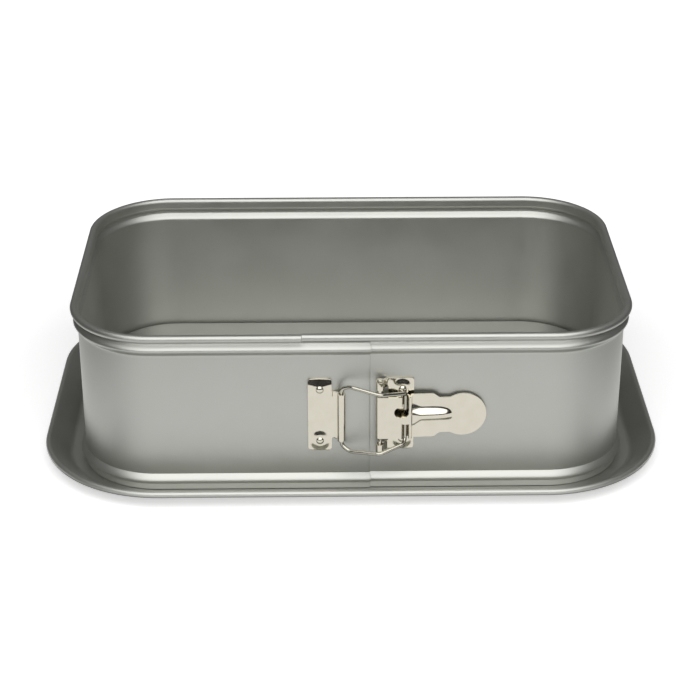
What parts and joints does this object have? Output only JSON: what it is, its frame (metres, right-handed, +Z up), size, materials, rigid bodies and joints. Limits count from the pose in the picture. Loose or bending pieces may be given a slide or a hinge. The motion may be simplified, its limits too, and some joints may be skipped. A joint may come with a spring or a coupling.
{
  "type": "rectangular springform pan",
  "caption": "Rectangular springform baking pan: a rimmed leak tray with a raised floor and a lift-off steel side band closed at the front by an over-centre latch with a wire bail.",
  "frame": {"origin": "under the centre of the tray, on the surface it stands on", "axes": "+Z up, +X along the pan's length; the latch faces -Y and its lever points to +X when shut"},
  "size_m": [0.3244, 0.214, 0.0892],
  "materials": {
    "coated_steel": "satin silver-grey non-stick coating on sheet steel",
    "plated_steel": "bright nickel plating on pressed steel and wire"
  },
  "bodies": {
    "tray": {"base_tray": "coated_steel"},
    "ring": {"side_band": "coated_steel", "hook_plate": "plated_steel", "hook_rivet_upper": "plated_steel", "hook_rivet_lower": "plated_steel", "latch_bracket": "plated_steel", "bracket_rivet_upper": "plated_steel", "bracket_rivet_lower": "plated_steel", "lever_pin": "plated_steel"},
    "lever": {"latch_lever": "plated_steel"},
    "bail": {"wire_bail": "plated_steel"}
  },
  "joints": [
    {"name": "ring_lift", "type": "slide", "parent": "tray", "child": "ring", "axis": [0, 0, 1], "range_m": [0, 0.1]},
    {"name": "lever_open", "type": "hinge", "parent": "ring", "child": "lever", "pos_m": [0.0137, -0.091, 0.0439], "axis": [0, 0, -1], "range_deg": [0, 140]},
    {"name": "bail_turn", "type": "hinge", "parent": "ring", "child": "bail", "pos_m": [-0.0057, -0.0911, 0.0439], "axis": [0, 0, -1], "range_deg": [0, 140]}
  ],
  "couplings": [
    {"joint": "bail_turn", "follows": "lever_open", "ratio": 1}
  ]
}
